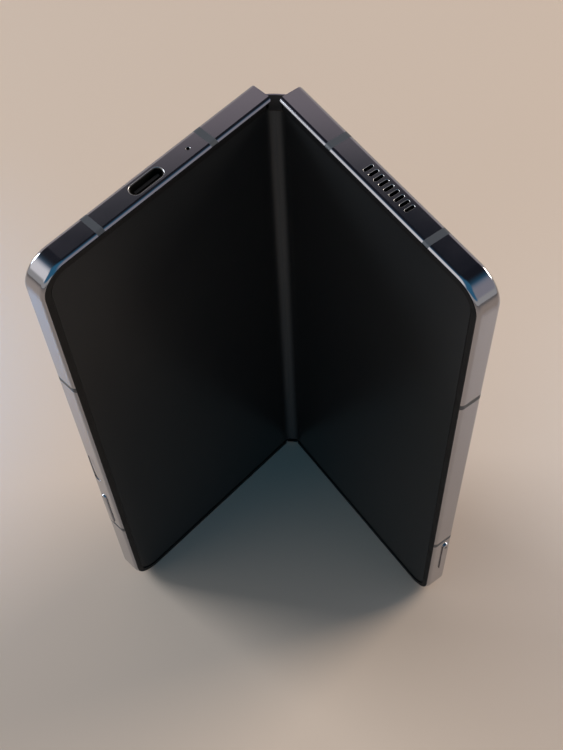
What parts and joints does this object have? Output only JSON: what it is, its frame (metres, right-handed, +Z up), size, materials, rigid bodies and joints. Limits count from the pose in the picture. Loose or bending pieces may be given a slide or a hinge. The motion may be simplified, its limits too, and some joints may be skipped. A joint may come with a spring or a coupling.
{
  "type": "foldable smartphone",
  "caption": "Half-open foldable smartphone standing on its short edge, with a geared dual-axis hinge, a folding inner display, a cover display and rear cameras.",
  "frame": {"origin": "under the middle of the standing phone's outline, on the surface that it stands on", "axes": "+Z up along the hinge axes, +Y from the open side towards the hinge, +X from the half with the rear cameras towards the half with the cover display"},
  "size_m": [0.094, 0.0526, 0.1551],
  "materials": {
    "frame_metal": "satin",
    "steel": "satin",
    "pinion_brass": "satin",
    "black_plastic": "matte",
    "antenna_plastic": "matte",
    "display": "gloss",
    "back_glass": "satin",
    "flash_lens": "gloss",
    "battery_wrap": "satin",
    "circuit_board": "satin",
    "copper": "satin"
  },
  "bodies": {
    "spine": {"spine_cover": "frame_metal", "hinge_housings": "steel", "spine_end_caps": "black_plastic", "display_fold_strip": "display", "flex_cables": "copper"},
    "main_half": {"main_frame": "frame_metal", "main_antenna_bands": "antenna_plastic", "main_hinge_bracket": "steel", "main_bracket_screws": "steel", "main_support_plate": "steel", "main_display": "display", "main_bezel": "black_plastic", "main_back_glass": "back_glass", "camera_island": "frame_metal", "lens_rings": "steel", "lens_windows": "display", "rear_cameras": "black_plastic", "flash_window": "flash_lens", "main_battery": "battery_wrap", "main_board": "circuit_board", "charging_coil": "copper", "port_board": "circuit_board", "usb_shell": "steel", "usb_tongue": "black_plastic", "microphone": "black_plastic", "vibration_motor": "steel", "inner_camera": "black_plastic", "power_switch": "steel", "volume_switches": "steel"},
    "cover_half": {"cover_frame": "frame_metal", "cover_antenna_bands": "antenna_plastic", "cover_hinge_bracket": "steel", "cover_bracket_screws": "steel", "cover_support_plate": "steel", "cover_side_display": "display", "cover_bezel": "black_plastic", "cover_glass": "display", "cover_display": "display", "cover_camera": "black_plastic", "earpiece_mesh": "steel", "earpiece": "black_plastic", "cover_battery": "battery_wrap", "cover_board": "circuit_board", "loudspeaker": "black_plastic", "speaker_mesh": "steel", "sim_socket": "steel"},
    "power_key": {"power_key": "frame_metal"},
    "volume_key": {"volume_key": "frame_metal"},
    "sim_tray": {"sim_tray": "frame_metal"},
    "main_outer_pinions": {"main_outer_pinion": "pinion_brass"},
    "main_inner_pinions": {"main_inner_pinion": "pinion_brass"},
    "cover_inner_pinions": {"cover_inner_pinion": "pinion_brass"},
    "cover_outer_pinions": {"cover_outer_pinion": "pinion_brass"}
  },
  "joints": [
    {"name": "main_fold", "type": "hinge", "parent": "spine", "child": "main_half", "pos_m": [-0.00205, 0.02155, 0.07755], "axis": [0, 0, -1], "range_deg": [-41.07, 49.61], "deforming": ["display_fold_strip", "flex_cables"]},
    {"name": "cover_fold", "type": "hinge", "parent": "spine", "child": "cover_half", "pos_m": [0.00205, 0.02155, 0.07755], "axis": [0, 0, 1], "range_deg": [-41.07, 49.61], "deforming": ["display_fold_strip", "flex_cables"]},
    {"name": "main_outer_pinions_turn", "type": "hinge", "parent": "spine", "child": "main_outer_pinions", "pos_m": [-0.00252, 0.0241, 0.07755], "axis": [0, 0, 1], "range_deg": [-104, 104]},
    {"name": "main_inner_pinions_turn", "type": "hinge", "parent": "spine", "child": "main_inner_pinions", "pos_m": [-0.00084, 0.0241, 0.07755], "axis": [0, 0, 1], "range_deg": [-104, 104]},
    {"name": "cover_inner_pinions_turn", "type": "hinge", "parent": "spine", "child": "cover_inner_pinions", "pos_m": [0.00084, 0.0241, 0.07755], "axis": [0, 0, 1], "range_deg": [-104, 104]},
    {"name": "cover_outer_pinions_turn", "type": "hinge", "parent": "spine", "child": "cover_outer_pinions", "pos_m": [0.00252, 0.0241, 0.07755], "axis": [0, 0, 1], "range_deg": [-104, 104]},
    {"name": "power_key_press", "type": "slide", "parent": "main_half", "child": "power_key", "axis": [0.648, 0.7617, 0], "range_m": [0, 0.00025], "stiffness_N_per_m": 1500},
    {"name": "volume_key_rock", "type": "hinge", "parent": "main_half", "child": "volume_key", "pos_m": [-0.04408, -0.02199, 0.0448], "axis": [-0.7617, 0.648, 0], "range_deg": [-1.2, 1.2], "stiffness_Nm_per_rad": 0.8},
    {"name": "sim_tray_slide", "type": "slide", "parent": "cover_half", "child": "sim_tray", "axis": [0.648, -0.7617, 0], "range_m": [0, 0.0185]}
  ],
  "couplings": [
    {"joint": "cover_fold", "follows": "main_fold", "ratio": 1},
    {"joint": "main_outer_pinions_turn", "follows": "main_fold", "ratio": 2.0833},
    {"joint": "main_inner_pinions_turn", "follows": "main_fold", "ratio": -2.0833},
    {"joint": "cover_inner_pinions_turn", "follows": "main_fold", "ratio": 2.0833},
    {"joint": "cover_outer_pinions_turn", "follows": "main_fold", "ratio": -2.0833}
  ]
}
